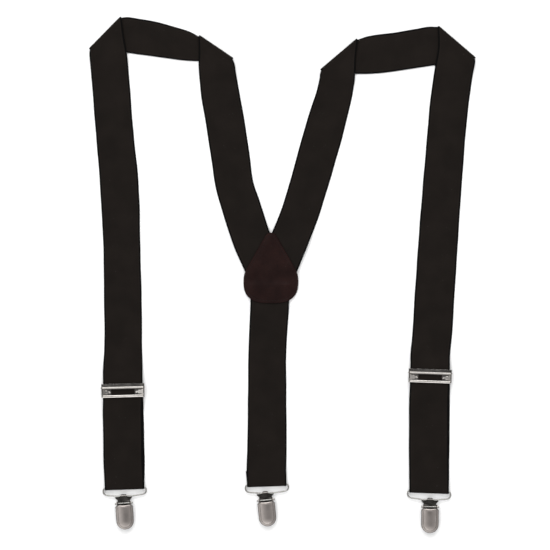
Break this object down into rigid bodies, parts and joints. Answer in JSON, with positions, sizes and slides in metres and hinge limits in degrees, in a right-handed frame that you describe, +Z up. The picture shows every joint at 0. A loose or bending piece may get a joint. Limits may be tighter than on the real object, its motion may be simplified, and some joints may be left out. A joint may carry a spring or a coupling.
{
  "type": "suspenders",
  "caption": "Y-back suspenders of elastic webbing with slide adjusters, a leather back patch and lever clips on wire bails, laid out flat.",
  "frame": {"origin": "centre of the laid-out suspenders' bounding box, on the table that they lie on", "axes": "+Y towards the shoulder folds, +Z up from the table, +X to the right with the face up"},
  "size_m": [0.3868, 0.5164, 0.0074],
  "materials": {
    "leather": "black grained leather",
    "thread": "waxed black thread",
    "webbing": "ribbed elastic webbing with woven edges",
    "nickel": "bright nickel plate",
    "satin_nickel": "satin nickel plate",
    "wire": "nickel plated steel wire",
    "pad": "moulded vinyl grip pad"
  },
  "bodies": {
    "root": {"patch_leather": "leather", "patch_backing": "leather", "patch_stitching": "thread", "left_strap_back": "webbing", "right_strap_back": "webbing"},
    "left_shoulder": {"left_strap_shoulder": "webbing", "left_strap_front": "webbing"},
    "left_adjuster": {"left_adjuster_frame": "nickel", "left_adjuster_pin": "nickel"},
    "left_flap": {"left_adjuster_flap": "nickel"},
    "right_shoulder": {"right_strap_shoulder": "webbing", "right_strap_front": "webbing"},
    "right_adjuster": {"right_adjuster_frame": "nickel", "right_adjuster_pin": "nickel"},
    "right_flap": {"right_adjuster_flap": "nickel"},
    "left_end": {"left_strap_end": "webbing"},
    "right_end": {"right_strap_end": "webbing"},
    "back_end": {"back_strap": "webbing"},
    "left_bail": {"left_bail": "wire"},
    "left_clip": {"left_clip_back": "satin_nickel", "left_hinge_pin": "wire", "left_back_pad": "pad"},
    "left_lever": {"left_clip_lever": "satin_nickel"},
    "left_jaw": {"left_clip_jaw": "satin_nickel", "left_jaw_pad": "pad"},
    "right_bail": {"right_bail": "wire"},
    "right_clip": {"right_clip_back": "satin_nickel", "right_hinge_pin": "wire", "right_back_pad": "pad"},
    "right_lever": {"right_clip_lever": "satin_nickel"},
    "right_jaw": {"right_clip_jaw": "satin_nickel", "right_jaw_pad": "pad"},
    "back_bail": {"back_bail": "wire"},
    "back_clip": {"back_clip_back": "satin_nickel", "back_hinge_pin": "wire", "back_back_pad": "pad"},
    "back_lever": {"back_clip_lever": "satin_nickel"},
    "back_jaw": {"back_clip_jaw": "satin_nickel", "back_jaw_pad": "pad"}
  },
  "joints": [
    {"name": "left_stretch", "type": "slide", "parent": "root", "child": "left_shoulder", "axis": [-0.2594, 0.9658, 0], "range_m": [0, 0.04], "stiffness_N_per_m": 120, "deforming": ["left_strap_back"]},
    {"name": "left_length", "type": "slide", "parent": "left_shoulder", "child": "left_adjuster", "axis": [-0.0154, 0.9999, 0], "range_m": [-0.1, 0.14], "deforming": ["left_strap_front"]},
    {"name": "left_length_end", "type": "slide", "parent": "left_adjuster", "child": "left_end", "axis": [-0.0154, 0.9999, 0], "range_m": [-0.07, 0.05], "deforming": ["left_strap_end"]},
    {"name": "left_flap_hinge", "type": "hinge", "parent": "left_adjuster", "child": "left_flap", "pos_m": [-0.15923, -0.11273, 0.0063], "axis": [-0.9997, -0.0262, 0], "range_deg": [0, 95]},
    {"name": "right_stretch", "type": "slide", "parent": "root", "child": "right_shoulder", "axis": [0.3144, 0.9493, 0], "range_m": [0, 0.04], "stiffness_N_per_m": 120, "deforming": ["right_strap_back"]},
    {"name": "right_length", "type": "slide", "parent": "right_shoulder", "child": "right_adjuster", "axis": [0.0069, 1, 0], "range_m": [-0.1, 0.14], "deforming": ["right_strap_front"]},
    {"name": "right_length_end", "type": "slide", "parent": "right_adjuster", "child": "right_end", "axis": [0.0069, 1, 0], "range_m": [-0.07, 0.05], "deforming": ["right_strap_end"]},
    {"name": "right_flap_hinge", "type": "hinge", "parent": "right_adjuster", "child": "right_flap", "pos_m": [0.14755, -0.09823, 0.0063], "axis": [-0.9994, 0.0349, 0], "range_deg": [0, 95]},
    {"name": "back_stretch", "type": "slide", "parent": "root", "child": "back_end", "axis": [-0.0166, -0.9999, 0], "range_m": [0, 0.04], "stiffness_N_per_m": 120, "deforming": ["back_strap"]},
    {"name": "left_bail_swing", "type": "hinge", "parent": "left_end", "child": "left_bail", "pos_m": [-0.15765, -0.21293, 0.0021], "axis": [-0.9994, -0.0349, 0], "range_deg": [0, 50]},
    {"name": "left_clip_swing", "type": "hinge", "parent": "left_bail", "child": "left_clip", "pos_m": [-0.15875, -0.22157, 0.0021], "axis": [-0.9976, -0.0698, 0], "range_deg": [0, 40]},
    {"name": "left_lever_hinge", "type": "hinge", "parent": "left_clip", "child": "left_lever", "pos_m": [-0.15827, -0.22836, 0.0036], "axis": [-0.9976, -0.0698, 0], "range_deg": [0, 100]},
    {"name": "left_jaw_hinge", "type": "hinge", "parent": "left_clip", "child": "left_jaw", "pos_m": [-0.15809, -0.23095, 0.0029], "axis": [-0.9976, -0.0698, 0], "range_deg": [0, 10]},
    {"name": "right_bail_swing", "type": "hinge", "parent": "right_end", "child": "right_bail", "pos_m": [0.14665, -0.21653, 0.0021], "axis": [-0.9994, 0.0349, 0], "range_deg": [0, 50]},
    {"name": "right_clip_swing", "type": "hinge", "parent": "right_bail", "child": "right_clip", "pos_m": [0.14755, -0.22517, 0.0021], "axis": [-1, 0.0087, 0], "range_deg": [0, 40]},
    {"name": "right_lever_hinge", "type": "hinge", "parent": "right_clip", "child": "right_lever", "pos_m": [0.14749, -0.23197, 0.0036], "axis": [-1, 0.0087, 0], "range_deg": [0, 100]},
    {"name": "right_jaw_hinge", "type": "hinge", "parent": "right_clip", "child": "right_jaw", "pos_m": [0.14747, -0.23457, 0.0029], "axis": [-1, 0.0087, 0], "range_deg": [0, 10]},
    {"name": "back_bail_swing", "type": "hinge", "parent": "back_end", "child": "back_bail", "pos_m": [-0.01555, -0.20983, 0.0021], "axis": [-0.9994, -0.0349, 0], "range_deg": [0, 50]},
    {"name": "back_clip_swing", "type": "hinge", "parent": "back_bail", "child": "back_clip", "pos_m": [-0.01715, -0.21849, 0.0021], "axis": [-0.9954, -0.0958, 0], "range_deg": [0, 40]},
    {"name": "back_lever_hinge", "type": "hinge", "parent": "back_clip", "child": "back_lever", "pos_m": [-0.0165, -0.22526, 0.0036], "axis": [-0.9954, -0.0958, 0], "range_deg": [0, 100]},
    {"name": "back_jaw_hinge", "type": "hinge", "parent": "back_clip", "child": "back_jaw", "pos_m": [-0.01625, -0.22785, 0.0029], "axis": [-0.9954, -0.0958, 0], "range_deg": [0, 10]}
  ],
  "couplings": [
    {"joint": "left_length_end", "follows": "left_length", "ratio": -0.5},
    {"joint": "right_length_end", "follows": "right_length", "ratio": -0.5},
    {"joint": "left_jaw_hinge", "follows": "left_lever_hinge", "ratio": 0.1},
    {"joint": "right_jaw_hinge", "follows": "right_lever_hinge", "ratio": 0.1},
    {"joint": "back_jaw_hinge", "follows": "back_lever_hinge", "ratio": 0.1}
  ]
}
